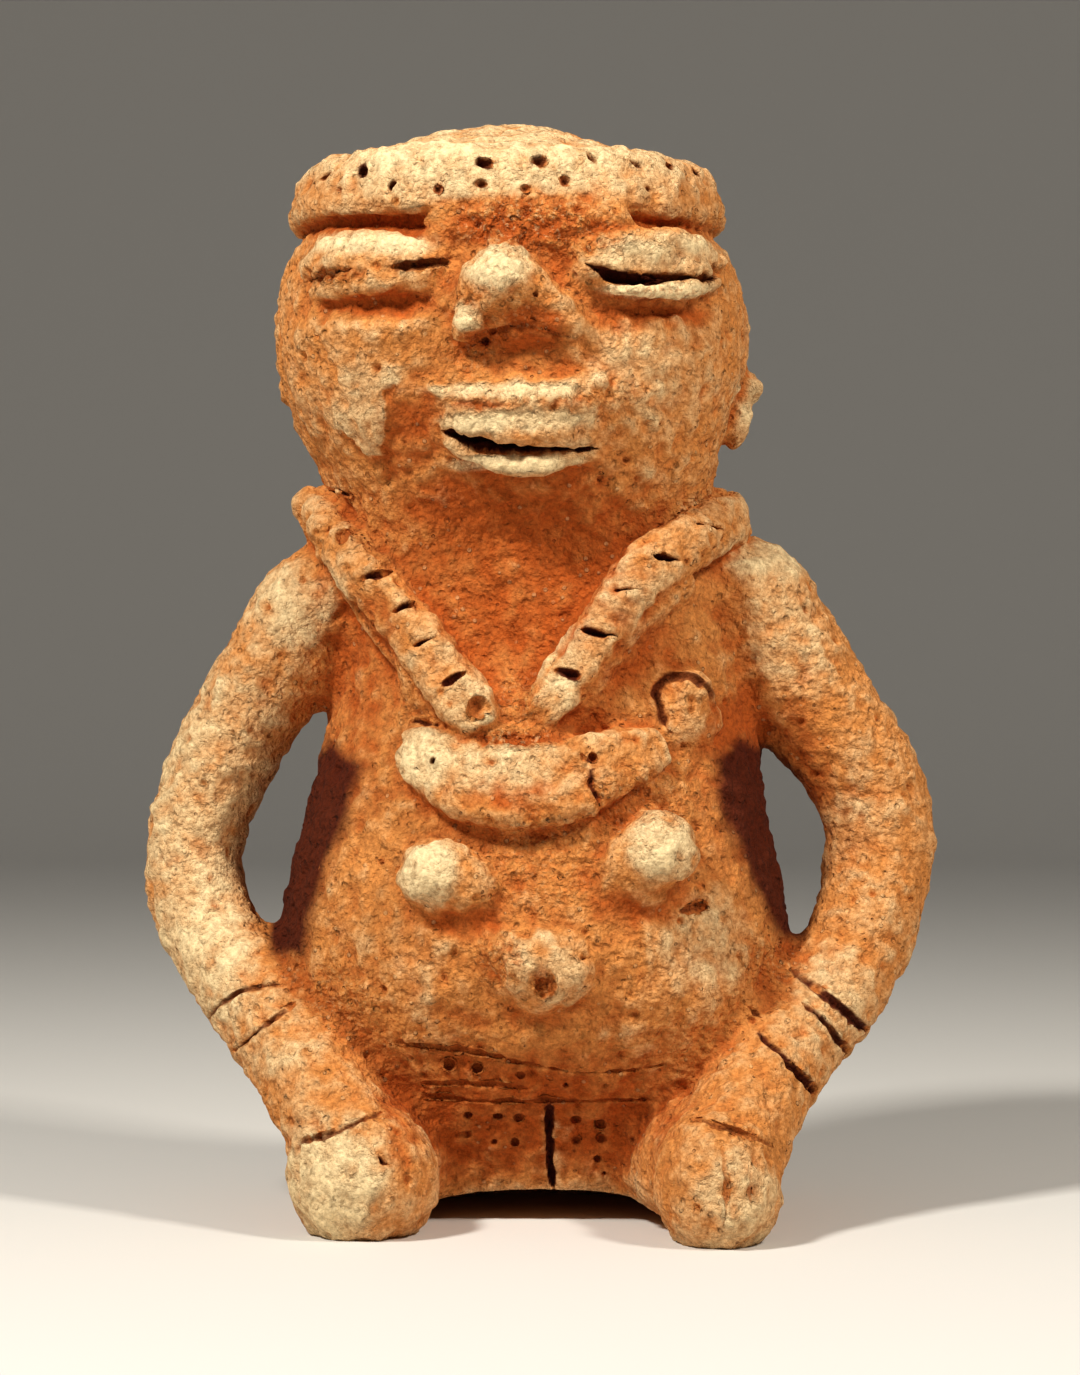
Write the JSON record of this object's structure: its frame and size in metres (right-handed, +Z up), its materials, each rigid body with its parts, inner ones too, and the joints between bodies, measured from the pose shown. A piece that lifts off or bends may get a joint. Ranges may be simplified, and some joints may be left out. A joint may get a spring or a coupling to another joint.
{
  "type": "seated female statuette",
  "caption": "Hand-modelled fired-clay figure of a seated woman, hands on her knees, with a punched headband, a crescent pendant and a short skirt. Stands by itself.",
  "frame": {"origin": "centre of the figure's outline seen from above, on the ground plane that it stands on", "axes": "+Z up, -Y is the way the figure faces, +X is the viewer's right when facing it"},
  "size_m": [0.1386, 0.0908, 0.19],
  "materials": {
    "fired_clay": "rough, unglazed, low-fired orange clay with a worn pale slip"
  },
  "bodies": {
    "root": {"statuette": "fired_clay"}
  },
  "joints": []
}
